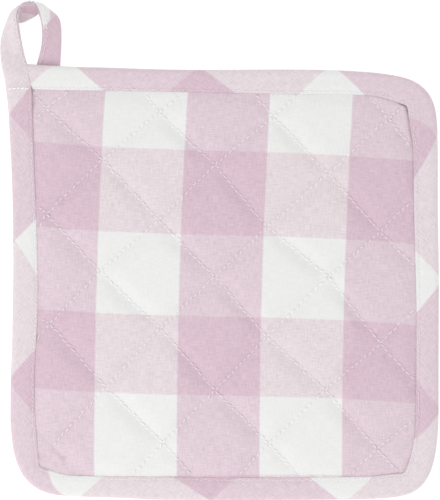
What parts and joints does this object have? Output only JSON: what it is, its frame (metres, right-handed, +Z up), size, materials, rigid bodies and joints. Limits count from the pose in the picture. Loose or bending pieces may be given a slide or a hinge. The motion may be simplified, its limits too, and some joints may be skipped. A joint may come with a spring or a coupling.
{
  "type": "quilted pot holder with hanging loop",
  "caption": "Square quilted cotton pot holder with a folded bias binding and a hanging loop at one corner, lying on its back.",
  "frame": {"origin": "on the surface the pot holder lies on, under the middle of its box with the loop", "axes": "+X to the right and +Y towards the loop as seen from above, +Z up out of the front face"},
  "size_m": [0.2056, 0.2329, 0.0102],
  "materials": {
    "panel_cloth": "plain-woven cotton, pink and white gingham, matt",
    "tape_cloth": "the same gingham cut on the bias and folded, matt"
  },
  "bodies": {
    "root": {"quilted_panel": "panel_cloth", "edge_binding": "tape_cloth", "hanging_loop": "tape_cloth"}
  },
  "joints": []
}
